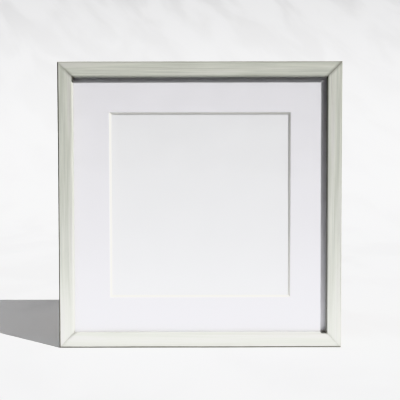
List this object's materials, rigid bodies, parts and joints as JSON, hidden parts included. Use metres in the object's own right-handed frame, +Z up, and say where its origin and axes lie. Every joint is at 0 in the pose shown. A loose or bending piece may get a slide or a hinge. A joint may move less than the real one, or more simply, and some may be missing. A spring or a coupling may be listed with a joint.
{
  "type": "shadow box",
  "caption": "Mitred whitewashed wooden shadow box with glass, a bevelled window mat over a white insert, spacer strips, and a back panel under turn buttons; it stands or hangs by D-rings.",
  "frame": {"origin": "bottom centre of the whole object's box, on the surface that the bottom rail stands on", "axes": "+Z up, -Y is the glazed front, +Y is the back with the panel and the hangers, +X is the right side as seen from the front"},
  "size_m": [0.2998, 0.0426, 0.3029],
  "materials": {
    "whitewashed_wood": "whitewashed grey-green, matte, fine straight grain along each rail",
    "nail_steel": "plain spring steel",
    "clear_glass": "clear, polished",
    "mat_paper": "cool white matte paper over a cream-white core",
    "insert_card": "smooth neutral white card",
    "spacer_board": "white foam-cored board",
    "fibreboard": "raw hardboard, smooth outside",
    "zinc_steel": "bright zinc plate"
  },
  "bodies": {
    "frame": {"rail_top": "whitewashed_wood", "rail_bottom": "whitewashed_wood", "rail_left": "whitewashed_wood", "rail_right": "whitewashed_wood", "v_nail_top_left_rear": "nail_steel", "v_nail_top_left_deep": "nail_steel", "v_nail_top_right_rear": "nail_steel", "v_nail_top_right_deep": "nail_steel", "v_nail_bottom_left_rear": "nail_steel", "v_nail_bottom_left_deep": "nail_steel", "v_nail_bottom_right_rear": "nail_steel", "v_nail_bottom_right_deep": "nail_steel", "glass_pane": "clear_glass", "mat_board": "mat_paper", "insert_sheet": "insert_card", "spacer_top": "spacer_board", "spacer_bottom": "spacer_board", "spacer_left": "spacer_board", "spacer_right": "spacer_board", "back_panel": "fibreboard", "button_screw_top_left": "zinc_steel", "button_screw_top_right": "zinc_steel", "button_screw_bottom_left": "zinc_steel", "button_screw_bottom_right": "zinc_steel", "button_screw_left_lower": "zinc_steel", "button_screw_left_upper": "zinc_steel", "button_screw_right_lower": "zinc_steel", "button_screw_right_upper": "zinc_steel", "hanger_strap_left": "zinc_steel", "hanger_screw_left": "zinc_steel", "hanger_strap_right": "zinc_steel", "hanger_screw_right": "zinc_steel"},
    "turn_button_top_left_body": {"turn_button_top_left": "zinc_steel"},
    "turn_button_top_right_body": {"turn_button_top_right": "zinc_steel"},
    "turn_button_bottom_left_body": {"turn_button_bottom_left": "zinc_steel"},
    "turn_button_bottom_right_body": {"turn_button_bottom_right": "zinc_steel"},
    "turn_button_left_lower_body": {"turn_button_left_lower": "zinc_steel"},
    "turn_button_left_upper_body": {"turn_button_left_upper": "zinc_steel"},
    "turn_button_right_lower_body": {"turn_button_right_lower": "zinc_steel"},
    "turn_button_right_upper_body": {"turn_button_right_upper": "zinc_steel"},
    "hanger_ring_left_body": {"hanger_ring_left": "zinc_steel"},
    "hanger_ring_right_body": {"hanger_ring_right": "zinc_steel"}
  },
  "joints": [
    {"name": "turn_top_left", "type": "hinge", "parent": "frame", "child": "turn_button_top_left_body", "pos_m": [-0.075, 0.0176, 0.29818], "axis": [0, 1, 0], "range_deg": [-90, 90]},
    {"name": "turn_top_right", "type": "hinge", "parent": "frame", "child": "turn_button_top_right_body", "pos_m": [0.075, 0.0176, 0.29818], "axis": [0, 1, 0], "range_deg": [-90, 90]},
    {"name": "turn_bottom_left", "type": "hinge", "parent": "frame", "child": "turn_button_bottom_left_body", "pos_m": [-0.075, 0.0176, 0.00473], "axis": [0, 1, 0], "range_deg": [-90, 90]},
    {"name": "turn_bottom_right", "type": "hinge", "parent": "frame", "child": "turn_button_bottom_right_body", "pos_m": [0.075, 0.0176, 0.00473], "axis": [0, 1, 0], "range_deg": [-90, 90]},
    {"name": "turn_left_lower", "type": "hinge", "parent": "frame", "child": "turn_button_left_lower_body", "pos_m": [-0.14522, 0.0176, 0.10145], "axis": [0, 1, 0], "range_deg": [-90, 90]},
    {"name": "turn_left_upper", "type": "hinge", "parent": "frame", "child": "turn_button_left_upper_body", "pos_m": [-0.14522, 0.0176, 0.20145], "axis": [0, 1, 0], "range_deg": [-90, 90]},
    {"name": "turn_right_lower", "type": "hinge", "parent": "frame", "child": "turn_button_right_lower_body", "pos_m": [0.14522, 0.0176, 0.10145], "axis": [0, 1, 0], "range_deg": [-90, 90]},
    {"name": "turn_right_upper", "type": "hinge", "parent": "frame", "child": "turn_button_right_upper_body", "pos_m": [0.14522, 0.0176, 0.20145], "axis": [0, 1, 0], "range_deg": [-90, 90]},
    {"name": "ring_swing_left", "type": "hinge", "parent": "frame", "child": "hanger_ring_left_body", "pos_m": [-0.14485, 0.0192, 0.245], "axis": [1, 0, 0], "range_deg": [0, 180]},
    {"name": "ring_swing_right", "type": "hinge", "parent": "frame", "child": "hanger_ring_right_body", "pos_m": [0.14485, 0.0192, 0.245], "axis": [1, 0, 0], "range_deg": [0, 180]}
  ]
}
